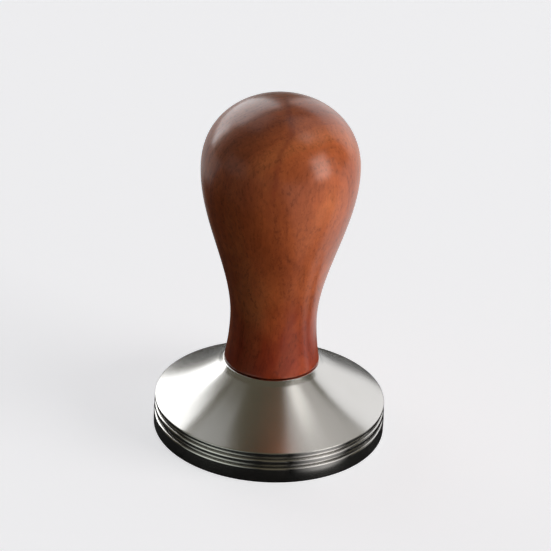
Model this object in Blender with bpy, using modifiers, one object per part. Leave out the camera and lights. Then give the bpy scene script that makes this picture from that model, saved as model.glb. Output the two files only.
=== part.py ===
"""A 58 mm espresso tamper: a solid steel base under a turned wooden handle.

The two halves screw together. A stud is fixed in a brass insert inside the handle, and its lower half
runs in a blind tapped hole in the base. A washer in the foot of the handle sits between wood and steel.
The frame is the tamper's own: +Z is the turning axis, and the origin is the centre of the face that
presses the coffee. Lengths are in metres.
"""

import math

import bmesh
import bpy
from mathutils import Vector

MM = 0.001

# Driving dimensions
BASE_DIAMETER = 58 * MM
HEIGHT = 88 * MM
HANDLE_DIAMETER = 38.2 * MM
NECK_DIAMETER = 21.4 * MM
FOOT_DIAMETER = 23.6 * MM
SEAT_HEIGHT = 18.7 * MM
THREAD_PITCH = 1.25 * MM
GAP = 0.3 * MM

# Steel base: the rim's lands and grooves from the pressing face up, then the hollow shoulder
BASE_RADIUS = BASE_DIAMETER / 2
BAND_TOP = 4.1 * MM
BEAD_BOTTOM = 5.1 * MM
BEAD_TOP = 6.3 * MM
LIP_BOTTOM = 7.3 * MM
LIP_TOP = 8.1 * MM
BEAD_RADIUS = BASE_RADIUS - 0.1 * MM
LIP_RADIUS = BASE_RADIUS - 0.2 * MM
GROOVE_RADIUS = BASE_RADIUS - 1.1 * MM
EDGE_ROUNDING = 0.35 * MM
GROOVE_ROUNDING = 0.2 * MM
PRESSING_EDGE = 0.5 * MM
SEAT_RADIUS = FOOT_DIAMETER / 2 + 0.3 * MM
SHOULDER_HOLLOW = 0.6 * MM

# Wooden handle, from its foot up
FOOT_HEIGHT = SEAT_HEIGHT + GAP
FOOT_ROUNDING = 0.9 * MM
NECK_HEIGHT = 30.5 * MM
BELLY_HEIGHT = 70 * MM
CROWN_SQUARENESS = 2.25

# Washer between the handle's foot and the base
WASHER_RADIUS = 8.8 * MM
WASHER_HOLE = 4.4 * MM
WASHER_THICKNESS = 0.9 * MM
WASHER_BOTTOM = SEAT_HEIGHT + GAP / 2
WASHER_TOP = WASHER_BOTTOM + WASHER_THICKNESS

# Metric thread of the stud, and how much wider the tapped threads round it are cut
THREAD_CORE = 3.2 * MM
THREAD_CREST = 3.95 * MM
THREAD_CREST_FLAT = 0.16 * MM
THREAD_PLAY = 0.25 * MM
THREAD_STEPS = 16

# Stud, with the hex socket in its lower end
STUD_BOTTOM = 8 * MM
STUD_TOP = 32 * MM
STUD_CHAMFER = 0.9 * MM
STUD_SOCKET_FLATS = 4 * MM
STUD_SOCKET_DEPTH = 4.5 * MM
TAPPED_HOLE_BOTTOM = 6.4 * MM
DRILL_POINT = 1.6 * MM
MOUTH_CHAMFER = 0.9 * MM

# Brass insert, glued in the handle: a flange under a barrel with grooves that key the glue
INSERT_BOTTOM = WASHER_TOP + GAP
INSERT_TOP = 34.2 * MM
INSERT_RADIUS = 6.2 * MM
INSERT_FLANGE_RADIUS = 7.6 * MM
INSERT_FLANGE_THICKNESS = 1.3 * MM
INSERT_GROOVES = 4
INSERT_GROOVE_DEPTH = 0.5 * MM
INSERT_CHAMFER = 0.7 * MM
STUD_ROOM_TOP = 38 * MM

BASE_SIDES = 72
HANDLE_SIDES = 56
SMALL_SIDES = 32
SHARP_ABOVE = math.radians(35)
MERGE = 0.00001


def clear_scene():
    for obj in list(bpy.data.objects):
        bpy.data.objects.remove(obj, do_unlink=True)


def new_collection(name):
    collection = bpy.data.collections.new(name)
    bpy.context.scene.collection.children.link(collection)
    return collection


def new_material(name, colour, roughness, metallic):
    material = bpy.data.materials.new(name)
    material.use_nodes = True
    shader = material.node_tree.nodes["Principled BSDF"]
    shader.inputs["Base Color"].default_value = (*colour, 1)
    shader.inputs["Roughness"].default_value = roughness
    shader.inputs["Metallic"].default_value = metallic
    return material


def new_object(name, mesh, collection):
    obj = bpy.data.objects.new(name, mesh)
    collection.objects.link(obj)
    return obj


def arc(start, end, bow, steps):
    """The points of a circular arc that follow start, up to end. It bows to the left of its way by bow."""
    start, end = Vector(start), Vector(end)
    chord = end - start
    left = Vector((-chord.y, chord.x)).normalized()
    radius = (chord.length_squared / 4 + bow**2) / (2 * abs(bow))
    half_angle = math.asin(chord.length / 2 / radius)
    side = math.copysign(1, bow)
    centre = (start + end) / 2 - left * side * (radius - abs(bow))
    spoke = start - centre
    points = []
    for step in range(1, steps + 1):
        turn = -side * 2 * half_angle * step / steps
        x = spoke.x * math.cos(turn) - spoke.y * math.sin(turn)
        y = spoke.x * math.sin(turn) + spoke.y * math.cos(turn)
        points.append((centre.x + x, centre.y + y))
    return points


def rounded(corners, steps=2):
    """An outline of (radius, height, rounding) corners, with an arc in place of each rounded corner."""
    points = []
    for index, (x, y, rounding) in enumerate(corners):
        if not rounding:
            points.append((x, y))
            continue
        corner = Vector((x, y))
        before = (Vector(corners[index - 1][:2]) - corner).normalized()
        after = (Vector(corners[index + 1][:2]) - corner).normalized()
        half_angle = before.angle(after) / 2
        setback = rounding / math.tan(half_angle)
        start, end = corner + before * setback, corner + after * setback
        radius_bow = rounding * (1 - math.sin(half_angle))
        side = 1 if before.cross(after) > 0 else -1
        points.append(tuple(start))
        points += arc(start, end, side * radius_bow, steps)
    return points


def turned(name, outline, sides, collection, closed=False):
    """A solid of revolution. The outline of (radius, height) points runs down the outer side."""
    edges = [(i, i + 1) for i in range(len(outline) - 1)]
    if closed:
        edges.append((len(outline) - 1, 0))
    mesh = bpy.data.meshes.new(name)
    mesh.from_pydata([(radius, 0, height) for radius, height in outline], edges, [])
    obj = new_object(name, mesh, collection)
    screw = obj.modifiers.new("turn", "SCREW")
    screw.axis = "Z"
    screw.steps = screw.render_steps = sides
    screw.use_merge_vertices = True
    screw.merge_threshold = MERGE
    return obj


def cylinder(name, radius, bottom, top, collection, sides=SMALL_SIDES):
    form = bmesh.new()
    bmesh.ops.create_cone(
        form, cap_ends=True, segments=sides, radius1=radius, radius2=radius, depth=top - bottom
    )
    bmesh.ops.translate(form, verts=form.verts, vec=(0, 0, (top + bottom) / 2))
    mesh = bpy.data.meshes.new(name)
    form.to_mesh(mesh)
    form.free()
    return new_object(name, mesh, collection)


def hexagon(name, flats, bottom, top, collection):
    corner_radius = flats / 2 / math.cos(math.pi / 6)
    return cylinder(name, corner_radius, bottom, top, collection, sides=6)


def metric_thread(name, bottom, top, play, collection):
    """A screw's whole solid, with one thread form swept up the Z axis and a cap at each end.

    Every thread starts a whole number of pitches above the origin, so a screw and its tap are in mesh.
    """
    first = math.floor(bottom / THREAD_PITCH) - 1
    turns = math.ceil(top / THREAD_PITCH) + 1 - first
    start = first * THREAD_PITCH
    rise = THREAD_PITCH / THREAD_STEPS
    core, crest = THREAD_CORE + play, THREAD_CREST + play
    middle, half_flat = THREAD_PITCH / 2, THREAD_CREST_FLAT / 2
    form_points = [(core, 0), (crest, middle - half_flat), (crest, middle + half_flat), (core, THREAD_PITCH)]
    form = bmesh.new()
    verts = [form.verts.new((radius, 0, start + height)) for radius, height in form_points]
    edges = [form.edges.new(pair) for pair in zip(verts, verts[1:])]
    bmesh.ops.spin(
        form,
        geom=verts + edges,
        axis=(0, 0, 1),
        cent=(0, 0, 0),
        dvec=(0, 0, rise),
        angle=math.tau * turns,
        steps=turns * THREAD_STEPS,
    )
    bmesh.ops.remove_doubles(form, verts=form.verts, dist=MERGE)
    rim = [edge for edge in form.edges if edge.is_boundary]
    for height in (start, start + (turns + 1) * THREAD_PITCH):
        near = [e for e in rim if abs(e.verts[0].co.z - height) <= THREAD_PITCH + rise]
        hub = form.verts.new((0, 0, height))
        for edge in near:
            form.faces.new((*edge.verts, hub))
    bmesh.ops.recalc_face_normals(form, faces=form.faces)
    mesh = bpy.data.meshes.new(name)
    form.to_mesh(mesh)
    form.free()
    return new_object(name, mesh, collection)


def boolean(obj, tool, operation):
    modifier = obj.modifiers.new(f"{operation.lower()} {tool.name}", "BOOLEAN")
    modifier.operation = operation
    modifier.object = tool
    modifier.solver = "EXACT"
    tool.hide_render = True
    tool.display_type = "WIRE"


def finish(obj, material):
    """Give the piece its material, and shade it smooth with its edges kept sharp."""
    obj.data.materials.append(material)
    screw = obj.modifiers.get("turn")
    if screw:
        screw.use_smooth_shade = True
    obj.data.shade_smooth()
    obj.data.set_sharp_from_angle(angle=SHARP_ABOVE)


def base_outline():
    shoulder_top = SEAT_HEIGHT - EDGE_ROUNDING
    shoulder_steps = 7
    top = [
        (0, SEAT_HEIGHT),
        (SEAT_RADIUS - EDGE_ROUNDING, SEAT_HEIGHT),
        (SEAT_RADIUS, shoulder_top),
    ]
    shoulder = arc((SEAT_RADIUS, shoulder_top), (LIP_RADIUS, LIP_TOP), -SHOULDER_HOLLOW, shoulder_steps)
    rim = rounded(
        [
            (*shoulder[-2], 0),
            (LIP_RADIUS, LIP_TOP, GROOVE_ROUNDING),
            (LIP_RADIUS, LIP_BOTTOM, GROOVE_ROUNDING),
            (GROOVE_RADIUS, LIP_BOTTOM, 0),
            (GROOVE_RADIUS, BEAD_TOP, 0),
            (BEAD_RADIUS, BEAD_TOP, EDGE_ROUNDING),
            (BEAD_RADIUS, BEAD_BOTTOM, GROOVE_ROUNDING),
            (GROOVE_RADIUS, BEAD_BOTTOM, 0),
            (GROOVE_RADIUS, BAND_TOP, 0),
            (BASE_RADIUS, BAND_TOP, EDGE_ROUNDING),
            (BASE_RADIUS, 0, PRESSING_EDGE),
            (0, 0, 0),
        ]
    )
    return top + shoulder[:-1] + rim[1:]


def build_base(material, parts, tools):
    base = turned("tamper_base", base_outline(), BASE_SIDES, parts)
    above = SEAT_HEIGHT + THREAD_PITCH
    hole_top = TAPPED_HOLE_BOTTOM + THREAD_PITCH
    tap = metric_thread("base_tap", hole_top, above, THREAD_PLAY, tools)
    well = turned(
        "base_well",
        [
            (0, hole_top),
            (THREAD_CREST + THREAD_PLAY + GAP, hole_top),
            (THREAD_CREST + THREAD_PLAY + GAP, TAPPED_HOLE_BOTTOM),
            (0, TAPPED_HOLE_BOTTOM - DRILL_POINT),
        ],
        SMALL_SIDES,
        tools,
    )
    mouth_radius = THREAD_CREST + THREAD_PLAY + GAP
    mouth = turned(
        "base_mouth",
        [
            (0, above),
            (mouth_radius + above - SEAT_HEIGHT, above),
            (mouth_radius - MOUTH_CHAMFER, SEAT_HEIGHT - MOUTH_CHAMFER),
            (0, SEAT_HEIGHT - MOUTH_CHAMFER),
        ],
        SMALL_SIDES,
        tools,
    )
    for tool in (tap, well, mouth):
        boolean(base, tool, "DIFFERENCE")
    finish(base, material)


def handle_radius(height):
    """The handle's outer radius: a flared foot, a smooth swell from neck to belly, then the crown."""
    neck, belly, foot = NECK_DIAMETER / 2, HANDLE_DIAMETER / 2, FOOT_DIAMETER / 2
    if height < NECK_HEIGHT:
        flare = (NECK_HEIGHT - height) / (NECK_HEIGHT - FOOT_HEIGHT - FOOT_ROUNDING)
        return neck + (foot - neck) * flare**2
    if height < BELLY_HEIGHT:
        swell = (height - NECK_HEIGHT) / (BELLY_HEIGHT - NECK_HEIGHT)
        return neck + (belly - neck) * swell**2 * (3 - 2 * swell)
    rise = min(1, (height - BELLY_HEIGHT) / (HEIGHT - BELLY_HEIGHT))
    return belly * math.sqrt(1 - rise**CROWN_SQUARENESS)


def handle_outline():
    crown_steps, body_steps, foot_steps, rounding_steps = 11, 13, 4, 3
    flare_bottom = FOOT_HEIGHT + FOOT_ROUNDING
    heights = [
        BELLY_HEIGHT + (HEIGHT - BELLY_HEIGHT) * math.cos(math.pi / 2 * step / crown_steps)
        for step in range(1, crown_steps + 1)
    ]
    heights += [
        BELLY_HEIGHT + (NECK_HEIGHT - BELLY_HEIGHT) * step / body_steps
        for step in range(1, body_steps + 1)
    ]
    heights += [
        NECK_HEIGHT + (flare_bottom - NECK_HEIGHT) * step / foot_steps
        for step in range(1, foot_steps + 1)
    ]
    points = [(0, HEIGHT)] + [(handle_radius(height), height) for height in heights]
    foot_edge = (FOOT_DIAMETER / 2 - FOOT_ROUNDING, FOOT_HEIGHT)
    quarter_bow = FOOT_ROUNDING * (1 - math.sqrt(0.5))
    points += arc(points[-1], foot_edge, quarter_bow, rounding_steps)
    points.append((0, FOOT_HEIGHT))
    return points


def build_handle(material, parts, tools):
    handle = turned("wooden_handle", handle_outline(), HANDLE_SIDES, parts)
    flange_top = INSERT_BOTTOM + INSERT_FLANGE_THICKNESS + GAP
    recess_top = WASHER_TOP + GAP / 2
    bores = turned(
        "handle_bores",
        [
            (0, STUD_ROOM_TOP),
            (THREAD_CREST + GAP, STUD_ROOM_TOP - THREAD_CREST / 2),
            (THREAD_CREST + GAP, INSERT_TOP + GAP),
            (INSERT_RADIUS + GAP, INSERT_TOP + GAP),
            (INSERT_RADIUS + GAP, flange_top),
            (INSERT_FLANGE_RADIUS + GAP, flange_top),
            (INSERT_FLANGE_RADIUS + GAP, recess_top),
            (WASHER_RADIUS + GAP, recess_top),
            (WASHER_RADIUS + GAP, FOOT_HEIGHT - GAP),
            (0, FOOT_HEIGHT - GAP),
        ],
        SMALL_SIDES,
        tools,
    )
    boolean(handle, bores, "DIFFERENCE")
    finish(handle, material)


def build_washer(material, parts):
    section = [
        (WASHER_HOLE, WASHER_TOP),
        (WASHER_RADIUS, WASHER_TOP),
        (WASHER_RADIUS, WASHER_BOTTOM),
        (WASHER_HOLE, WASHER_BOTTOM),
    ]
    washer = turned("seat_washer", section, SMALL_SIDES, parts, closed=True)
    finish(washer, material)


def insert_outline():
    """The insert's outside: chamfered barrel, glue grooves, then the flange at the bottom."""
    flange_top = INSERT_BOTTOM + INSERT_FLANGE_THICKNESS
    points = [
        (0, INSERT_TOP),
        (INSERT_RADIUS - INSERT_CHAMFER, INSERT_TOP),
        (INSERT_RADIUS, INSERT_TOP - INSERT_CHAMFER),
    ]
    spacing = (INSERT_TOP - INSERT_CHAMFER - flange_top) / (INSERT_GROOVES + 1)
    for index in range(1, INSERT_GROOVES + 1):
        height = INSERT_TOP - INSERT_CHAMFER - index * spacing
        points += [
            (INSERT_RADIUS, height + INSERT_GROOVE_DEPTH),
            (INSERT_RADIUS - INSERT_GROOVE_DEPTH, height),
            (INSERT_RADIUS, height - INSERT_GROOVE_DEPTH),
        ]
    points += [
        (INSERT_RADIUS, flange_top),
        (INSERT_FLANGE_RADIUS, flange_top),
        (INSERT_FLANGE_RADIUS, INSERT_BOTTOM),
        (0, INSERT_BOTTOM),
    ]
    return points


def build_insert(material, parts, tools):
    insert = turned("threaded_insert", insert_outline(), SMALL_SIDES, parts)
    below, above = INSERT_BOTTOM - THREAD_PITCH, INSERT_TOP + THREAD_PITCH
    boolean(insert, metric_thread("insert_tap", below, above, THREAD_PLAY, tools), "DIFFERENCE")
    finish(insert, material)


def build_stud(material, parts, tools):
    blank_radius = THREAD_CREST + GAP
    shoulder = STUD_CHAMFER + GAP
    stud = turned(
        "stud",
        [
            (0, STUD_TOP),
            (THREAD_CREST - STUD_CHAMFER, STUD_TOP),
            (blank_radius, STUD_TOP - shoulder),
            (blank_radius, STUD_BOTTOM + shoulder),
            (THREAD_CREST - STUD_CHAMFER, STUD_BOTTOM),
            (0, STUD_BOTTOM),
        ],
        SMALL_SIDES,
        parts,
    )
    boolean(stud, metric_thread("stud_thread", STUD_BOTTOM, STUD_TOP, 0, tools), "INTERSECT")
    socket_top = STUD_BOTTOM + STUD_SOCKET_DEPTH
    socket = hexagon("stud_socket", STUD_SOCKET_FLATS, STUD_BOTTOM - GAP, socket_top, tools)
    boolean(stud, socket, "DIFFERENCE")
    finish(stud, material)


def main():
    clear_scene()
    parts = new_collection("espresso tamper")
    tools = new_collection("cutters")
    steel = new_material("turned stainless steel", (0.72, 0.71, 0.69), 0.22, 1)
    wood = new_material("lacquered red hardwood", (0.30, 0.09, 0.035), 0.3, 0)
    brass = new_material("brass", (0.80, 0.60, 0.25), 0.35, 1)
    screw_steel = new_material("bright screw steel", (0.62, 0.62, 0.63), 0.32, 1)
    rubber = new_material("black rubber", (0.02, 0.02, 0.02), 0.75, 0)
    build_base(steel, parts, tools)
    build_washer(rubber, parts)
    build_stud(screw_steel, parts, tools)
    build_insert(brass, parts, tools)
    build_handle(wood, parts, tools)


main()
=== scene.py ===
"""The looks of the espresso tamper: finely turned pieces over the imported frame, and a studio."""

import math

import bmesh
import bpy
from mathutils import Matrix, Quaternion, Vector


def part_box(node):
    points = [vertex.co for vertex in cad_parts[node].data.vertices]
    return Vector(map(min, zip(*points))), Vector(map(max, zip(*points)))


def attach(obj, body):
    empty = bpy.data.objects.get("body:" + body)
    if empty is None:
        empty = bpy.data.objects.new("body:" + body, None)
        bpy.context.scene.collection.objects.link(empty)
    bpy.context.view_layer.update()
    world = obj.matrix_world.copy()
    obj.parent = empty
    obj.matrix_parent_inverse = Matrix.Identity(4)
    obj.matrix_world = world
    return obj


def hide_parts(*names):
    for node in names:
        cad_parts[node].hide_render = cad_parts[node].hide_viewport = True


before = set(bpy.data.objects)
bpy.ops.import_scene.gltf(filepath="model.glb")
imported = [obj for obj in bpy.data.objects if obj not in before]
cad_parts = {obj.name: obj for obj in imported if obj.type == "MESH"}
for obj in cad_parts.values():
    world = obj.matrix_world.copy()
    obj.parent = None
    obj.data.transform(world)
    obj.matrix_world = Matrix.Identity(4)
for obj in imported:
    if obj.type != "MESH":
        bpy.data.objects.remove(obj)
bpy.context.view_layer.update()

MM = 0.001

# The frame's own sizes, read from its nodes
base_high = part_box("tamper_base")[1]
handle_low, handle_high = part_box("wooden_handle")
washer_low, washer_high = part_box("seat_washer")
insert_low, insert_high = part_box("threaded_insert")
stud_low, stud_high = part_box("stud")

BASE_RADIUS = base_high.x
SEAT_HEIGHT = base_high.z
HANDLE_RADIUS = handle_high.x
HANDLE_TOP = handle_high.z
FOOT_HEIGHT = handle_low.z - 0.2 * MM
STUD_CREST = stud_high.x

# Steel base
BAND_TOP = 4.1 * MM
BEAD_BOTTOM = 5.1 * MM
BEAD_TOP = 6.3 * MM
LIP_BOTTOM = 7.3 * MM
LIP_TOP = 8.1 * MM
BEAD_RADIUS = BASE_RADIUS - 0.1 * MM
LIP_RADIUS = BASE_RADIUS - 0.2 * MM
GROOVE_RADIUS = BASE_RADIUS - 1.1 * MM
SHOULDER_HOLLOW = 0.6 * MM
SEAT_RADIUS = 12.1 * MM

# Wooden handle
NECK_RADIUS = 10.7 * MM
FOOT_RADIUS = 11.8 * MM
FOOT_ROUNDING = 0.6 * MM
NECK_HEIGHT = 30.5 * MM
BELLY_HEIGHT = 70 * MM
CROWN_SQUARENESS = 2.25

# Brass insert
INSERT_RADIUS = 6.2 * MM
INSERT_FLANGE_TOP = insert_low.z + 1.3 * MM

# Threads
PITCH = 1.25 * MM
THREAD_DEPTH = 0.75 * MM
THREAD_PLAY = 0.25 * MM
THREAD_STEPS = 64

ROUND_SIDES = 256
SHARP_ABOVE = math.radians(32)
# Points nearer than this to the axis are on it
AXIS_REACH = 1e-7
# Length of outline for one unit of the UV map's v
UV_LENGTH = 100 * MM


# ---------------------------------------------------------------- shapes


def arc(start, end, bow, steps):
    """The points of a circular arc that follow start, up to end. It bows to the left of its way by bow."""
    start, end = Vector(start), Vector(end)
    chord = end - start
    left = Vector((-chord.y, chord.x)).normalized()
    radius = (chord.length_squared / 4 + bow**2) / (2 * abs(bow))
    half_angle = math.asin(chord.length / 2 / radius)
    side = math.copysign(1, bow)
    centre = (start + end) / 2 - left * side * (radius - abs(bow))
    spoke = start - centre
    points = []
    for step in range(1, steps + 1):
        turn = -side * 2 * half_angle * step / steps
        x = spoke.x * math.cos(turn) - spoke.y * math.sin(turn)
        y = spoke.x * math.sin(turn) + spoke.y * math.cos(turn)
        points.append((centre.x + x, centre.y + y))
    return points


def rounded(corners, steps=6):
    """An outline of (radius, height, rounding) corners, with an arc in place of each rounded corner."""
    points = []
    for index, (x, y, rounding) in enumerate(corners):
        if not rounding:
            points.append((x, y))
            continue
        corner = Vector((x, y))
        before = (Vector(corners[index - 1][:2]) - corner).normalized()
        after = (Vector(corners[(index + 1) % len(corners)][:2]) - corner).normalized()
        half_angle = before.angle(after) / 2
        setback = rounding / math.tan(half_angle)
        start, end = corner + before * setback, corner + after * setback
        bow = rounding * (1 - math.sin(half_angle))
        side = 1 if before.cross(after) > 0 else -1
        points.append(tuple(start))
        points += arc(start, end, side * bow, steps)
    return points


def turned(name, outline, sides=ROUND_SIDES, closed=False):
    """A solid of revolution whose outline of (radius, height) points runs down the outer side.

    Its UV map runs round the axis in u and along the outline in v, which gives the turning marks' direction.
    """
    form = bmesh.new()
    uv_layer = form.loops.layers.uv.new("turning")
    if closed:
        outline = [*outline, outline[0]]
    rings = []
    for radius, height in outline:
        if radius < AXIS_REACH:
            rings.append([form.verts.new((0, 0, height))] * sides)
            continue
        ring = []
        for side in range(sides):
            angle = math.tau * side / sides
            ring.append(form.verts.new((radius * math.cos(angle), radius * math.sin(angle), height)))
        rings.append(ring)
    if closed:
        for vert in rings[-1]:
            form.verts.remove(vert)
        rings[-1] = rings[0]
    along = 0
    for index in range(len(rings) - 1):
        upper, lower = rings[index], rings[index + 1]
        length = (Vector(outline[index + 1]) - Vector(outline[index])).length
        for side in range(sides):
            after = (side + 1) % sides
            corners = [
                (upper[side], side, along),
                (lower[side], side, along + length),
                (lower[after], side + 1, along + length),
                (upper[after], side + 1, along),
            ]
            seen, kept = set(), []
            for corner in corners:
                if corner[0] not in seen:
                    seen.add(corner[0])
                    kept.append(corner)
            if len(kept) < 3:
                continue
            face = form.faces.new([corner[0] for corner in kept])
            face.smooth = True
            for loop, (_, step, distance) in zip(face.loops, kept):
                loop[uv_layer].uv = (step / sides, distance / UV_LENGTH)
        along += length
    bmesh.ops.recalc_face_normals(form, faces=form.faces)
    return to_object(name, form)


def to_object(name, form):
    mesh = bpy.data.meshes.new(name)
    form.to_mesh(mesh)
    form.free()
    obj = bpy.data.objects.new(name, mesh)
    bpy.context.scene.collection.objects.link(obj)
    return obj


def prism(name, radius, bottom, top, sides):
    form = bmesh.new()
    bmesh.ops.create_cone(
        form, cap_ends=True, segments=sides, radius1=radius, radius2=radius, depth=top - bottom
    )
    bmesh.ops.translate(form, verts=form.verts, vec=(0, 0, (top + bottom) / 2))
    return to_object(name, form)


def thread_solid(name, bottom, top, play):
    """A screw's whole solid: a rounded thread form swept up the axis, with a cap at each end."""
    first = math.floor(bottom / PITCH) - 1
    turns = math.ceil(top / PITCH) + 1 - first
    start = first * PITCH
    crest = STUD_CREST + play
    core = crest - THREAD_DEPTH
    ease = 0.1 * THREAD_DEPTH
    flank_foot, flank_head, crest_edge = 0.09 * PITCH, 0.41 * PITCH, 0.455 * PITCH
    rising = [(core, 0), (core + ease, flank_foot), (crest - ease, flank_head), (crest, crest_edge)]
    form_points = rising + [(radius, PITCH - height) for radius, height in reversed(rising)]
    form = bmesh.new()
    verts = [form.verts.new((radius, 0, start + height)) for radius, height in form_points]
    edges = [form.edges.new(pair) for pair in zip(verts, verts[1:])]
    bmesh.ops.spin(
        form,
        geom=verts + edges,
        axis=(0, 0, 1),
        cent=(0, 0, 0),
        dvec=(0, 0, PITCH / THREAD_STEPS),
        angle=math.tau * turns,
        steps=turns * THREAD_STEPS,
    )
    bmesh.ops.remove_doubles(form, verts=form.verts, dist=0.01 * MM)
    rim = [edge for edge in form.edges if edge.is_boundary]
    reach = 1.05 * PITCH
    for height in (start, start + (turns + 1) * PITCH):
        near = [edge for edge in rim if abs(edge.verts[0].co.z - height) <= reach]
        hub = form.verts.new((0, 0, height))
        for edge in near:
            form.faces.new((*edge.verts, hub))
    bmesh.ops.recalc_face_normals(form, faces=form.faces)
    return to_object(name, form)


def cut(obj, tool, operation="DIFFERENCE"):
    """Applies a Boolean to obj and removes the tool."""
    modifier = obj.modifiers.new("cut", "BOOLEAN")
    modifier.operation = operation
    modifier.object = tool
    modifier.solver = "EXACT"
    depsgraph = bpy.context.evaluated_depsgraph_get()
    mesh = bpy.data.meshes.new_from_object(obj.evaluated_get(depsgraph))
    obj.modifiers.clear()
    old = obj.data
    obj.data = mesh
    bpy.data.meshes.remove(old)
    bpy.data.objects.remove(tool, do_unlink=True)


def smooth(obj):
    obj.data.shade_smooth()
    obj.data.set_sharp_from_angle(angle=SHARP_ABOVE)


def make_base():
    """The steel piston: seat, hollow shoulder, grooved rim, flat pressing face and tapped blind hole."""
    seat_fall, seat_narrowing = 0.35 * MM, 0.05 * MM
    crease, ridge, fine_edge = 0.25 * MM, 0.5 * MM, 0.15 * MM
    lip_upper_edge, lip_lower_edge, pressing_edge = 0.22 * MM, 0.12 * MM, 0.45 * MM
    shoulder_top = (SEAT_RADIUS, SEAT_HEIGHT - seat_fall)
    shoulder = arc(shoulder_top, (LIP_RADIUS, LIP_TOP), -SHOULDER_HOLLOW, 40)
    top = rounded(
        [
            (0, SEAT_HEIGHT, 0),
            (SEAT_RADIUS - seat_narrowing, SEAT_HEIGHT, crease),
            (*shoulder[1], 0),
        ]
    )
    rim = rounded(
        [
            (*shoulder[-2], 0),
            (LIP_RADIUS, LIP_TOP, lip_upper_edge),
            (LIP_RADIUS, LIP_BOTTOM, lip_lower_edge),
            (GROOVE_RADIUS, LIP_BOTTOM, crease),
            (GROOVE_RADIUS, BEAD_TOP, crease),
            (BEAD_RADIUS, BEAD_TOP, ridge),
            (BEAD_RADIUS, BEAD_BOTTOM, fine_edge),
            (GROOVE_RADIUS, BEAD_BOTTOM, crease),
            (GROOVE_RADIUS, BAND_TOP, crease),
            (BASE_RADIUS, BAND_TOP, ridge),
            (BASE_RADIUS, 0, pressing_edge),
            (0, 0, 0),
        ]
    )
    outline = top[:-1] + shoulder[1:-1] + rim[1:]
    base = turned("turned_base", outline)
    hole_bottom, drill_point = 6.4 * MM, 1.6 * MM
    clearance = STUD_CREST + THREAD_PLAY + 0.1 * MM
    mouth_outer, mouth_inner = clearance + 1.3 * MM, clearance - 0.7 * MM
    cut(base, thread_solid("base_tap", hole_bottom + PITCH, SEAT_HEIGHT + PITCH, THREAD_PLAY))
    well = [
        (0, hole_bottom + PITCH),
        (clearance, hole_bottom + PITCH),
        (clearance, hole_bottom),
        (0, hole_bottom - drill_point),
    ]
    cut(base, turned("base_well", well, 64))
    mouth = [
        (0, SEAT_HEIGHT + MM),
        (mouth_outer, SEAT_HEIGHT + MM),
        (mouth_inner, SEAT_HEIGHT - MM),
        (0, SEAT_HEIGHT - MM),
    ]
    cut(base, turned("base_mouth", mouth, 128))
    smooth(base)
    return base


def handle_radius(height):
    """The handle's outer radius: a flared foot, a smooth swell from neck to belly, then the crown."""
    if height < NECK_HEIGHT:
        flare = (NECK_HEIGHT - height) / (NECK_HEIGHT - FOOT_HEIGHT - FOOT_ROUNDING)
        return NECK_RADIUS + (FOOT_RADIUS - NECK_RADIUS) * flare**2
    if height < BELLY_HEIGHT:
        swell = (height - NECK_HEIGHT) / (BELLY_HEIGHT - NECK_HEIGHT)
        return NECK_RADIUS + (HANDLE_RADIUS - NECK_RADIUS) * swell**2 * (3 - 2 * swell)
    rise = min(1, (height - BELLY_HEIGHT) / (HANDLE_TOP - BELLY_HEIGHT))
    return HANDLE_RADIUS * math.sqrt(1 - rise**CROWN_SQUARENESS)


def make_handle():
    """The wooden handle, with a recess for the washer and a bore for the insert and the stud."""
    crown_steps, body_steps, foot_steps = 40, 70, 16
    flare_bottom = FOOT_HEIGHT + FOOT_ROUNDING
    heights = [
        BELLY_HEIGHT + (HANDLE_TOP - BELLY_HEIGHT) * math.cos(math.pi / 2 * step / crown_steps)
        for step in range(1, crown_steps + 1)
    ]
    heights += [
        BELLY_HEIGHT + (NECK_HEIGHT - BELLY_HEIGHT) * step / body_steps
        for step in range(1, body_steps + 1)
    ]
    heights += [
        NECK_HEIGHT + (flare_bottom - NECK_HEIGHT) * step / foot_steps
        for step in range(1, foot_steps + 1)
    ]
    outline = [(0, HANDLE_TOP)] + [(handle_radius(height), height) for height in heights]
    foot_edge = (FOOT_RADIUS - FOOT_ROUNDING, FOOT_HEIGHT)
    outline += arc(outline[-1], foot_edge, FOOT_ROUNDING * (1 - math.sqrt(0.5)), 10)
    clear = 0.3 * MM
    recess = washer_high.x + clear
    flange = insert_high.x + clear
    barrel = INSERT_RADIUS + clear
    flange_top = INSERT_FLANGE_TOP + clear
    recess_top = washer_high.z + clear / 2
    stud_room, stud_room_top = STUD_CREST + clear, stud_high.z + 4 * MM
    drill_point = 2 * MM
    mouth_rounding, inner_rounding = 0.15 * MM, 0.1 * MM
    outline += rounded(
        [
            (FOOT_RADIUS - 2 * FOOT_ROUNDING, FOOT_HEIGHT, 0),
            (recess, FOOT_HEIGHT, mouth_rounding),
            (recess, recess_top, inner_rounding),
            (flange, recess_top, inner_rounding),
            (flange, flange_top, 0),
            (barrel, flange_top, 0),
            (barrel, insert_high.z + clear, 0),
            (stud_room, insert_high.z + clear, 0),
            (stud_room, stud_room_top, 0),
            (0, stud_room_top + drill_point, 0),
        ],
        steps=3,
    )
    handle = turned("turned_handle", outline)
    smooth(handle)
    return handle


def make_washer():
    """The rubber ring between the wood and the steel."""
    hole = 4.4 * MM
    edge = 0.18 * MM
    outline = rounded(
        [
            (hole, washer_high.z, edge),
            (washer_high.x, washer_high.z, edge),
            (washer_high.x, washer_low.z, edge),
            (hole, washer_low.z, edge),
        ],
        steps=4,
    )
    washer = turned("rubber_washer", outline, 128, closed=True)
    smooth(washer)
    return washer


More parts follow.
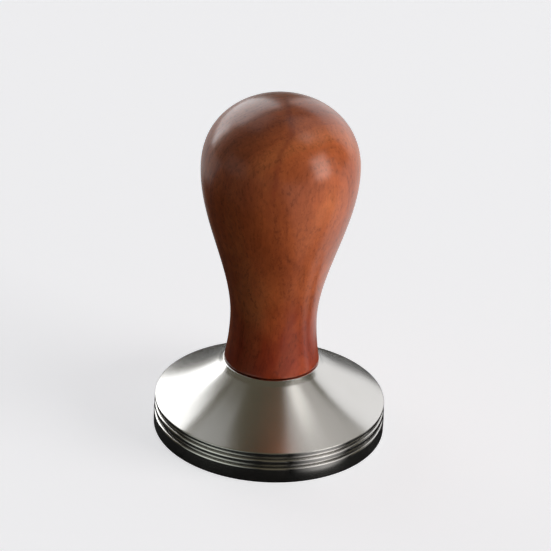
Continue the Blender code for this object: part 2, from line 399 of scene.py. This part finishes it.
def make_insert():
    """The brass insert, with a flange below and ring grooves that hold the glue."""
    groove, groove_edge, flange_edge = 0.5 * MM, 0.1 * MM, 0.15 * MM
    chamfer = 0.7 * MM
    grooves = 4
    chamfer_foot = insert_high.z - chamfer
    corners = [
        (0, insert_high.z, 0),
        (INSERT_RADIUS - chamfer, insert_high.z, 0),
        (INSERT_RADIUS, chamfer_foot, 0),
    ]
    spacing = (chamfer_foot - INSERT_FLANGE_TOP) / (grooves + 1)
    for index in range(1, grooves + 1):
        height = chamfer_foot - index * spacing
        corners += [
            (INSERT_RADIUS, height + groove, groove_edge),
            (INSERT_RADIUS - groove, height, groove_edge),
            (INSERT_RADIUS, height - groove, groove_edge),
        ]
    corners += [
        (INSERT_RADIUS, INSERT_FLANGE_TOP, 0),
        (insert_high.x, INSERT_FLANGE_TOP, flange_edge),
        (insert_high.x, insert_low.z, flange_edge),
        (0, insert_low.z, 0),
    ]
    insert = turned("brass_insert", rounded(corners, steps=3), 128)
    cut(insert, thread_solid("insert_tap", insert_low.z - PITCH, insert_high.z + PITCH, THREAD_PLAY))
    smooth(insert)
    return insert


def make_stud():
    """The set screw: chamfered ends, an M8 thread and a hex socket below."""
    blank_radius = STUD_CREST + 0.3 * MM
    chamfer = 0.9 * MM
    shoulder = chamfer + 0.3 * MM
    blank = [
        (0, stud_high.z),
        (STUD_CREST - chamfer, stud_high.z),
        (blank_radius, stud_high.z - shoulder),
        (blank_radius, stud_low.z + shoulder),
        (STUD_CREST - chamfer, stud_low.z),
        (0, stud_low.z),
    ]
    stud = turned("threaded_stud", blank, 128)
    cut(stud, thread_solid("stud_thread", stud_low.z, stud_high.z, 0), "INTERSECT")
    socket_flats, socket_depth = 4 * MM, 4.5 * MM
    socket_corner = socket_flats / 2 / math.cos(math.pi / 6)
    cut(stud, prism("stud_socket", socket_corner, stud_low.z - MM, stud_low.z + socket_depth, 6))
    smooth(stud)
    return stud


# ---------------------------------------------------------------- materials


class Graph:
    """A material's node tree, with short ways to add and join its nodes."""

    def __init__(self, name):
        self.material = bpy.data.materials.new(name)
        self.material.use_nodes = True
        self.tree = self.material.node_tree
        self.tree.nodes.clear()
        self.shader = self.add("ShaderNodeBsdfPrincipled")
        output = self.add("ShaderNodeOutputMaterial")
        self.link(self.shader.outputs["BSDF"], output.inputs["Surface"])

    def link(self, start, end):
        self.tree.links.new(start, end)

    def add(self, kind, values=None, **settings):
        node = self.tree.nodes.new(kind)
        for key, value in settings.items():
            setattr(node, key, value)
        for key, value in (values or {}).items():
            socket = node.inputs[key]
            if isinstance(value, bpy.types.NodeSocket):
                self.link(value, socket)
            else:
                socket.default_value = value
        return node

    def set(self, **values):
        for key, value in values.items():
            socket = self.shader.inputs[key.replace("_", " ")]
            if isinstance(value, bpy.types.NodeSocket):
                self.link(value, socket)
            else:
                socket.default_value = value

    def position(self, scale=(1, 1, 1)):
        """The object's own coordinates, in millimetres times scale."""
        coordinates = self.add("ShaderNodeTexCoord").outputs["Object"]
        per_mm = tuple(1000 * factor for factor in scale)
        return self.add("ShaderNodeMapping", {"Vector": coordinates, "Scale": per_mm}).outputs["Vector"]

    def math(self, operation, *values, clamp=False):
        node = self.add("ShaderNodeMath", operation=operation, use_clamp=clamp)
        for socket, value in zip(node.inputs, values):
            if isinstance(value, bpy.types.NodeSocket):
                self.link(value, socket)
            else:
                socket.default_value = value
        return node.outputs["Value"]

    def vector(self, operation, *values):
        node = self.add("ShaderNodeVectorMath", operation=operation)
        for socket, value in zip(node.inputs, values):
            if isinstance(value, bpy.types.NodeSocket):
                self.link(value, socket)
            else:
                socket.default_value = value
        return node.outputs["Value" if operation in ("LENGTH", "DOT_PRODUCT") else "Vector"]

    def noise(self, vector, scale=1.0, detail=2.0, roughness=0.5, distortion=0.0):
        values = {
            "Vector": vector,
            "Scale": scale,
            "Detail": detail,
            "Roughness": roughness,
            "Distortion": distortion,
        }
        return self.add("ShaderNodeTexNoise", values).outputs["Fac"]

    def line_noise(self, along, scale=1.0, detail=2.0, roughness=0.5):
        values = {"W": along, "Scale": scale, "Detail": detail, "Roughness": roughness}
        return self.add("ShaderNodeTexNoise", values, noise_dimensions="1D").outputs["Fac"]

    def remap(self, value, low, high, new_low=0.0, new_high=1.0):
        values = {"Value": value, "From Min": low, "From Max": high, "To Min": new_low, "To Max": new_high}
        return self.add("ShaderNodeMapRange", values, interpolation_type="SMOOTHSTEP").outputs["Result"]

    def mix(self, factor, first, second, blend="MIX"):
        node = self.add("ShaderNodeMix", data_type="RGBA", blend_type=blend)
        for index, value in ((0, factor), (6, first), (7, second)):
            socket = node.inputs[index]
            if isinstance(value, bpy.types.NodeSocket):
                self.link(value, socket)
            else:
                socket.default_value = (*value, 1) if isinstance(value, tuple) else value
        return node.outputs[2]

    def ramp(self, factor, stops):
        node = self.add("ShaderNodeValToRGB", {"Fac": factor})
        elements = node.color_ramp.elements
        while len(elements) < len(stops):
            elements.new(1)
        for element, (position, colour) in zip(elements, stops):
            element.position = position
            element.color = (*colour, 1)
        return node.outputs["Color"]

    def bump(self, height, distance, strength=1.0, normal=None):
        values = {"Height": height, "Distance": distance, "Strength": strength}
        if normal is not None:
            values["Normal"] = normal
        return self.add("ShaderNodeBump", values).outputs["Normal"]


def wood():
    """Lacquered hardwood, orange-brown in the belly and redder in the neck.

    The pith lies behind the handle and a little to its left, so the growth rings show as ovals on the
    front right of the belly and as upright lines beside them. Over them lie a dark streak down from
    the crown, fibres, a fine mottle and a satin coat. Painted shade darkens the crown towards its top.
    """
    pith = (-36.0, 64.0, 0.0)
    lean_start, lean_rate = 42.0, 0.16
    neck_end, belly_start = 20.0, 44.0
    crown_shade_start, crown_shade_end = 74.0, 92.0
    streak_foot, streak_head, streak_bend = 64.0, 78.0, 84.3
    streak_front, streak_back = -2.0, 4.0
    streak_colour = (0.19, 0.026, 0.012)
    g = Graph("lacquered hardwood")
    place = g.position()
    axes = g.add("ShaderNodeSeparateXYZ", {"Vector": place}).outputs
    height = axes["Z"]
    slow = g.position((0.05, 0.05, 0.022))
    drift = g.add("ShaderNodeTexNoise", {"Vector": slow, "Scale": 1.0, "Detail": 2.0})
    centred = g.vector("SUBTRACT", drift.outputs["Color"], (0.5, 0.5, 0.5))
    warped = g.vector("ADD", place, g.vector("MULTIPLY", centred, (9.0, 9.0, 0.0)))
    from_pith = g.vector("SUBTRACT", warped, pith)
    across = g.vector("LENGTH", g.vector("MULTIPLY", from_pith, (1.0, 1.0, 0.0)))
    above_start = g.math("MAXIMUM", g.math("SUBTRACT", height, lean_start), 0.0)
    lean = g.math("MULTIPLY", above_start, lean_rate)
    ring = g.math("SUBTRACT", across, lean)
    bands = g.line_noise(ring, scale=0.17, detail=2.0, roughness=0.5)
    rings = g.line_noise(ring, scale=0.75, detail=2.0, roughness=0.55)
    fibres = g.noise(g.vector("MULTIPLY", warped, (2.0, 2.0, 0.14)), detail=3.0, roughness=0.6)
    clouds = g.noise(g.vector("MULTIPLY", warped, (0.09, 0.09, 0.05)), detail=3.0, roughness=0.55)
    mottle = g.noise(g.vector("MULTIPLY", warped, (0.8, 0.8, 0.45)), detail=3.0, roughness=0.65)
    pores = g.noise(g.vector("MULTIPLY", warped, (1.7, 1.7, 0.8)), detail=2.0, roughness=0.6)
    tone = g.math("ADD", g.math("MULTIPLY", bands, 0.35), g.math("MULTIPLY", clouds, 0.65))
    belly = g.ramp(
        tone,
        [
            (0.34, (0.360, 0.074, 0.019)),
            (0.50, (0.470, 0.106, 0.028)),
            (0.64, (0.580, 0.150, 0.042)),
        ],
    )
    neck = g.ramp(
        tone,
        [
            (0.34, (0.270, 0.031, 0.008)),
            (0.50, (0.360, 0.049, 0.012)),
            (0.64, (0.465, 0.083, 0.022)),
        ],
    )
    uneven = g.math("ADD", height, g.math("MULTIPLY", g.math("SUBTRACT", clouds, 0.5), 40.0))
    colour = g.mix(g.remap(uneven, neck_end, belly_start), neck, belly)
    # Painted shade: towards the top of the crown the colour is mixed a little towards the darker neck colour.
    colour = g.mix(g.remap(uneven, crown_shade_start, crown_shade_end, 0.0, 0.15), colour, neck)
    from_bend = g.math("ABSOLUTE", g.math("SUBTRACT", height, streak_bend))
    bend = g.remap(from_bend, 0.0, 4.5, 2.0, 0.0)
    path = g.math("ADD", bend, g.math("MULTIPLY", g.math("SUBTRACT", height, 77.0), 0.12))
    frayed = g.math("ADD", axes["X"], g.math("MULTIPLY", fibres, 1.4))
    beside = g.math("ABSOLUTE", g.math("SUBTRACT", frayed, path))
    streak = g.remap(g.math("SUBTRACT", beside, 0.7), -0.9, 0.8, 0.45, 0.0)
    streak = g.math("MULTIPLY", streak, g.remap(height, streak_foot, streak_head))
    streak = g.math("MULTIPLY", streak, g.remap(axes["Y"], streak_front, streak_back, 1.0, 0.0))
    colour = g.mix(streak, colour, streak_colour)
    speckle_and_shade = g.math("MULTIPLY", g.remap(fibres, 0.3, 0.7, 0.95, 1.05), g.remap(mottle, 0.3, 0.7, 0.92, 1.07))
    speckle_and_shade = g.math("MULTIPLY", speckle_and_shade, g.remap(rings, 0.3, 0.7, 0.93, 1.06))
    open_pores = g.math("MULTIPLY", g.remap(pores, 0.5, 0.64), g.remap(rings, 0.35, 0.65, 0.28, 0.10))
    speckle_and_shade = g.math("MULTIPLY", speckle_and_shade, g.math("SUBTRACT", 1.04, open_pores))
    # Painted shade: the colour darkens towards the top of the crown.
    speckle_and_shade = g.math("MULTIPLY", speckle_and_shade, g.remap(height, 72.0, 88.0, 1.0, 0.86))
    grey = g.add("ShaderNodeCombineColor", {0: speckle_and_shade, 1: speckle_and_shade, 2: speckle_and_shade}).outputs[0]
    colour = g.mix(1.0, colour, grey, "MULTIPLY")
    grain = g.bump(fibres, 0.02 * MM, 0.3)
    coat_ripple = g.bump(g.noise(place, scale=0.4, detail=2.0), 0.03 * MM, 0.25)
    g.set(
        Base_Color=colour,
        Roughness=g.remap(fibres, 0.3, 0.7, 0.38, 0.5),
        Normal=grain,
        Specular_IOR_Level=0.08,
        Coat_Weight=1.0,
        Coat_Roughness=0.24,
        Coat_IOR=1.6,
        Coat_Normal=coat_ripple,
    )
    return g.material


def turned_steel():
    """Stainless steel straight off the lathe and lightly polished: fine rings round the axis."""
    g = Graph("turned stainless steel")
    place = g.position()
    flat = g.vector("MULTIPLY", place, (1.0, 1.0, 0.0))
    radius = g.vector("LENGTH", flat)
    height = g.add("ShaderNodeSeparateXYZ", {"Vector": place}).outputs["Z"]
    path = g.math("ADD", radius, g.math("MULTIPLY", height, -0.62))
    fine = g.line_noise(path, scale=9.0, detail=3.0, roughness=0.7)
    broad = g.line_noise(path, scale=1.3, detail=2.0)
    smudge = g.noise(place, scale=0.05, detail=2.0, roughness=0.5)
    on_shoulder = g.remap(height, LIP_TOP / MM - 0.1, LIP_TOP / MM + 0.3)
    polish = g.math("ADD", 0.14, g.math("MULTIPLY", on_shoulder, 0.05))
    rough = g.math("ADD", g.remap(fine, 0.25, 0.75, 0.0, 0.05), g.remap(smudge, 0.35, 0.75, 0.0, 0.03))
    rough = g.math("ADD", rough, polish)
    tangent = g.add("ShaderNodeTangent", direction_type="UV_MAP", uv_map="turning").outputs["Tangent"]
    rings = g.math("ADD", g.math("MULTIPLY", fine, 0.6), g.math("MULTIPLY", broad, 0.4))
    colour = g.mix(g.remap(smudge, 0.3, 0.7), (0.66, 0.65, 0.625), (0.72, 0.71, 0.69))
    g.set(
        Base_Color=colour,
        Metallic=1.0,
        Roughness=rough,
        Anisotropic=0.8,
        Anisotropic_Rotation=0.25,
        Tangent=tangent,
        Normal=g.bump(rings, 0.006 * MM, 0.5),
    )
    return g.material


def screw_steel():
    """A rolled thread: painted shade darkens the roots against lighter crests, with faint marks along the
    thread.
    """
    g = Graph("bright screw steel")
    place = g.position()
    radius = g.vector("LENGTH", g.vector("MULTIPLY", place, (1.0, 1.0, 0.0)))
    crest = g.remap(radius, STUD_CREST / MM - 0.7, STUD_CREST / MM - 0.1)
    marks = g.noise(g.vector("MULTIPLY", place, (1.0, 1.0, 6.0)), scale=1.5, detail=4.0)
    # Painted shade: darker colour in the thread roots, lighter on the crests.
    colour = g.mix(crest, (0.30, 0.30, 0.31), (0.62, 0.62, 0.64))
    g.set(
        Base_Color=colour,
        Metallic=1.0,
        Roughness=g.remap(marks, 0.3, 0.7, 0.24, 0.42),
        Normal=g.bump(marks, 0.01 * MM, 0.4),
    )
    return g.material


def turned_brass():
    """Brass with fine turning rings and a little tarnish."""
    g = Graph("turned brass")
    place = g.position()
    height = g.add("ShaderNodeSeparateXYZ", {"Vector": place}).outputs["Z"]
    rings = g.line_noise(height, scale=7.0, detail=3.0)
    tarnish = g.noise(place, scale=0.35, detail=4.0, roughness=0.6)
    colour = g.mix(g.remap(tarnish, 0.4, 0.7), (0.78, 0.56, 0.22), (0.55, 0.36, 0.13))
    g.set(
        Base_Color=colour,
        Metallic=1.0,
        Roughness=g.remap(rings, 0.3, 0.7, 0.24, 0.38),
        Normal=g.bump(rings, 0.008 * MM, 0.4),
    )
    return g.material


def black_rubber():
    """Matt rubber with a little dust."""
    g = Graph("black rubber")
    place = g.position()
    grain = g.noise(place, scale=6.0, detail=3.0, roughness=0.6)
    dust = g.noise(place, scale=0.8, detail=4.0)
    colour = g.mix(g.remap(dust, 0.45, 0.8), (0.016, 0.016, 0.017), (0.05, 0.048, 0.045))
    g.set(
        Base_Color=colour,
        Roughness=g.remap(grain, 0.3, 0.7, 0.6, 0.8),
        Normal=g.bump(grain, 0.02 * MM, 0.5),
        Specular_IOR_Level=0.4,
    )
    return g.material


# ---------------------------------------------------------------- studio


RIGHT = (1, 0, 0)
UP = (0, 0, 1)
# Half the side of a board's grid, before it is scaled to its size
BOARD_HALF = 0.5
REFLECTOR_DISTANCE = 1.2
LAMP_DISTANCE = 3
NEARLY_BLACK = (0.012,) * 3
DIM = (0.04,) * 3


def floor_material(name, colour, glow=0.0, one_sided=False):
    """A matt stage surface, with a glow of its own. One-sided, it is clear from behind."""
    material = bpy.data.materials.new(name)
    material.use_nodes = True
    tree = material.node_tree
    shader = tree.nodes["Principled BSDF"]
    shader.inputs["Base Color"].default_value = (*colour, 1)
    shader.inputs["Roughness"].default_value = 0.9
    shader.inputs["Specular IOR Level"].default_value = 0.1
    shader.inputs["Emission Color"].default_value = (*colour, 1)
    shader.inputs["Emission Strength"].default_value = glow
    if one_sided:
        clear_from_behind(tree, shader.outputs["BSDF"], tree.nodes["Material Output"])
    return material


def glow_material(name, colour, strength, one_sided=False, fading=False):
    """A plain glow. One-sided, it is clear from behind. Fading, it dims towards two of its ends."""
    material = bpy.data.materials.new(name)
    material.use_nodes = True
    tree = material.node_tree
    tree.nodes.clear()
    glow = tree.nodes.new("ShaderNodeEmission")
    glow.inputs["Color"].default_value = (*colour, 1)
    glow.inputs["Strength"].default_value = strength
    output = tree.nodes.new("ShaderNodeOutputMaterial")
    tree.links.new(glow.outputs["Emission"], output.inputs["Surface"])
    if one_sided:
        clear_from_behind(tree, glow.outputs["Emission"], output)
    if fading:
        place = tree.nodes.new("ShaderNodeTexCoord")
        axes = tree.nodes.new("ShaderNodeSeparateXYZ")
        aside = tree.nodes.new("ShaderNodeMath")
        aside.operation = "ABSOLUTE"
        fade = tree.nodes.new("ShaderNodeMapRange")
        fade.interpolation_type = "SMOOTHSTEP"
        fade.inputs["From Max"].default_value = BOARD_HALF
        fade.inputs["To Min"].default_value = strength
        fade.inputs["To Max"].default_value = 0
        tree.links.new(place.outputs["Object"], axes.inputs["Vector"])
        tree.links.new(axes.outputs["X"], aside.inputs[0])
        tree.links.new(aside.outputs["Value"], fade.inputs["Value"])
        tree.links.new(fade.outputs["Result"], glow.inputs["Strength"])
    return material


def clear_from_behind(tree, surface, output):
    """Lets light through wherever the surface is met from its back."""
    clear = tree.nodes.new("ShaderNodeBsdfTransparent")
    mix = tree.nodes.new("ShaderNodeMixShader")
    geometry = tree.nodes.new("ShaderNodeNewGeometry")
    tree.links.new(geometry.outputs["Backfacing"], mix.inputs["Fac"])
    tree.links.new(surface, mix.inputs[1])
    tree.links.new(clear.outputs["BSDF"], mix.inputs[2])
    tree.links.new(mix.outputs["Shader"], output.inputs["Surface"])


def board(name, size, centre, across, facing, material):
    """A flat stage board at centre: its first side runs along across, and its face looks along facing."""
    form = bmesh.new()
    bmesh.ops.create_grid(form, x_segments=1, y_segments=1, size=BOARD_HALF)
    obj = to_object(name, form)
    normal = Vector(facing).normalized()
    side = Vector(across)
    side = (side - normal * side.dot(normal)).normalized()
    axes = Matrix((side, normal.cross(side), normal)).transposed()
    obj.matrix_world = Matrix.LocRotScale(Vector(centre), axes.to_quaternion(), Vector((*size, 1)))
    obj.data.materials.append(material)
    obj.visible_camera = False
    obj.visible_shadow = False
    return obj


def toward(azimuth, elevation):
    """The direction at azimuth degrees to the right of +Y, and elevation degrees above the horizon."""
    a, e = math.radians(azimuth), math.radians(elevation)
    return Vector((math.sin(a) * math.cos(e), math.cos(a) * math.cos(e), math.sin(e)))


def reflector(name, azimuth, elevation, size, colour, strength):
    """A bright board that is only seen mirrored in the tamper. The first of its sizes is its height."""
    direction = toward(azimuth, elevation)
    centre = direction * REFLECTOR_DISTANCE
    obj = board(name, size, centre, UP, -direction, glow_material(name, colour, strength))
    obj.visible_diffuse = False
    obj.visible_transmission = False


def soft_box(name, azimuth, elevation, size, power, colour=(1, 1, 1)):
    """A lamp that lights the surfaces but isn't seen mirrored in them."""
    light = bpy.data.lights.new(name, "AREA")
    light.shape = "RECTANGLE"
    light.size, light.size_y = size
    light.energy = power
    light.color = colour
    direction = toward(azimuth, elevation)
    obj = bpy.data.objects.new(name, light)
    obj.location = direction * LAMP_DISTANCE
    obj.rotation_mode = "QUATERNION"
    obj.rotation_quaternion = (-direction).to_track_quat("-Z", "Y")
    obj.visible_glossy = False
    bpy.context.scene.collection.objects.link(obj)


def make_floors():
    """The pale floor, the dark and pale surfaces that stand for the photo's mat and table, and the glints."""
    pale = floor_material("pale floor", (0.80, 0.80, 0.815), glow=0.72)
    floor = board("floor", (12, 12), (0, 0, 0), RIGHT, UP, pale)
    floor.visible_camera = True
    floor.visible_shadow = True
    mirrored_mat = board(
        "dark_mirrored",
        (0.2, 0.15),
        (-0.073, 0.009, 0.0002),
        toward(-51, 0),
        UP,
        floor_material("dark board", NEARLY_BLACK, one_sided=True),
    )
    mirrored_mat.visible_diffuse = False
    border = board(
        "dark_border",
        (0.19, 0.010),
        (-0.017, 0.066, 0.005),
        toward(-48, 0),
        toward(-138, 0),
        floor_material("dark border", NEARLY_BLACK),
    )
    border.visible_diffuse = False
    mirrored_floors = (
        ("grey_behind", (6, 4), (0, 2.06, 0.00010), 0.4),
        ("dark_in_front", (6, 4), (0, -1.94, 0.00010), 0.05),
        ("pale_beside", (2, 2), (1.02, 0.99, 0.00015), 0.6),
        ("pale_front_right", (2, 2), (1.03, -1.03, 0.00015), 0.3),
    )
    for name, size, centre, brightness in mirrored_floors:
        material = glow_material(name, (1, 1, 1), brightness, one_sided=True)
        mirrored_floor = board(name, size, centre, RIGHT, UP, material)
        mirrored_floor.visible_diffuse = False
    glints = (
        ("glint_left", -146, 36.8 * MM, 6.8 * MM, (44 * MM, 10 * MM), -40, (0.94, 1, 0.92), 0.8),
        ("glint_right", 145, 36.8 * MM, 6.8 * MM, (30 * MM, 10 * MM), -40, (1, 0.96, 0.94), 1.4),
        ("glint_right_low", 147, 33 * MM, 2.5 * MM, (24 * MM, 5 * MM), 0, (1, 0.98, 0.96), 0.4),
    )
    for name, azimuth, distance, height, size, tilt, colour, strength in glints:
        outward = toward(azimuth, 0)
        centre = outward * distance + Vector((0, 0, height))
        facing = toward(azimuth + 180, tilt)
        material = glow_material(name, colour, strength, one_sided=True, fading=True)
        glint = board(name, size, centre, outward.cross(UP), facing, material)
        glint.visible_diffuse = False
    dim = floor_material("dim board", DIM, one_sided=True)
    dim_floor = board("dark_bounce", (1.0, 1.4), (-0.45, -0.1, 0.0001), RIGHT, UP, dim)
    dim_floor.visible_glossy = False


def make_world():
    """A faint light all round, a warm dark room in reflections, and a pale backdrop for the camera."""
    world = bpy.data.worlds.new("studio")
    bpy.context.scene.world = world
    world.use_nodes = True
    tree = world.node_tree
    surroundings = tree.nodes["Background"]
    surroundings.inputs["Color"].default_value = (0.95, 0.97, 1.0, 1)
    surroundings.inputs["Strength"].default_value = 0.10
    mirrored = tree.nodes.new("ShaderNodeBackground")
    mirrored.inputs["Color"].default_value = (0.105, 0.094, 0.066, 1)
    mirrored.inputs["Strength"].default_value = 1.0
    mix = tree.nodes.new("ShaderNodeMixShader")
    path = tree.nodes.new("ShaderNodeLightPath")
    tree.links.new(path.outputs["Is Glossy Ray"], mix.inputs["Fac"])
    tree.links.new(surroundings.outputs["Background"], mix.inputs[1])
    tree.links.new(mirrored.outputs["Background"], mix.inputs[2])
    backdrop = tree.nodes.new("ShaderNodeBackground")
    backdrop.inputs["Color"].default_value = (0.855, 0.855, 0.87, 1)
    backdrop.inputs["Strength"].default_value = 1.0
    seen = tree.nodes.new("ShaderNodeMixShader")
    tree.links.new(path.outputs["Is Camera Ray"], seen.inputs["Fac"])
    tree.links.new(mix.outputs["Shader"], seen.inputs[1])
    tree.links.new(backdrop.outputs["Background"], seen.inputs[2])
    tree.links.new(seen.outputs["Shader"], tree.nodes["World Output"].inputs["Surface"])


def make_lights():
    """Three lamps, and the windows, walls and lamps that the steel and the lacquer mirror."""
    soft_box("key_right", 110, 10, (2.4, 1.2), 77, (1, 0.975, 0.94))
    soft_box("fill_top", 30, 75, (3.4, 3.4), 9)
    soft_box("fill_left", -40, 5, (2.4, 2.4), 25)
    reflector("window_left", -29.5, 29, (0.98, 0.84), (0.98, 0.99, 1.0), 2.0)
    reflector("window_left_low", -51, 17, (0.54, 0.24), (0.98, 0.99, 1.0), 3.2)
    reflector("glow_left", -48, 63, (0.35, 0.6), (1, 1, 0.97), 0.4)
    reflector("wall_right", 34, 18, (1.05, 1.2), (0.965, 0.96, 0.965), 1.03)
    reflector("glow_right", 63, 62, (0.8, 0.8), (1, 0.97, 0.93), 0.55)
    reflector("lamp_right", 97, 63, (0.3, 0.36), (1, 0.98, 0.95), 1.4)
    reflector("window_front_right", 117, 19, (0.72, 0.5), (1, 0.97, 0.93), 3.0)
    reflector("wall_front_left", -112, 10, (0.6, 0.8), (0.94, 1, 0.95), 0.25)


def make_camera():
    """The photograph's station point and lean, closed in on the tamper."""
    distance, elevation = 532.2 * MM, math.radians(30.4)
    camera_data = bpy.data.cameras.new("camera")
    camera_data.lens = 137
    camera_data.sensor_width = 36
    camera_data.clip_start = 0.01
    camera = bpy.data.objects.new("camera", camera_data)
    camera.location = (0, -distance * math.cos(elevation), distance * math.sin(elevation))
    aim = Vector((0, 0, 41.5 * MM))
    look = (aim - camera.location).to_track_quat("-Z", "Y")
    lean = math.radians(2.8)
    camera.rotation_mode = "QUATERNION"
    camera.rotation_quaternion = look @ Quaternion((0, 0, 1), lean)
    bpy.context.scene.collection.objects.link(camera)
    bpy.context.scene.camera = camera


def main():
    pieces = [
        (make_base(), "base", "tamper_base", "base_steel", turned_steel()),
        (make_washer(), "washer", "seat_washer", "washer_rubber", black_rubber()),
        (make_stud(), "handle", "stud", "stud_steel", screw_steel()),
        (make_insert(), "handle", "threaded_insert", "insert_brass", turned_brass()),
        (make_handle(), "handle", "wooden_handle", "handle_wood", wood()),
    ]
    for piece, body, node, slot, material in pieces:
        piece.data.materials.clear()
        piece.data.materials.append(material)
        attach(piece, body)
        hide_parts(node)
    make_floors()
    make_world()
    make_lights()
    make_camera()
    bpy.context.scene.view_settings.view_transform = "Standard"


main()
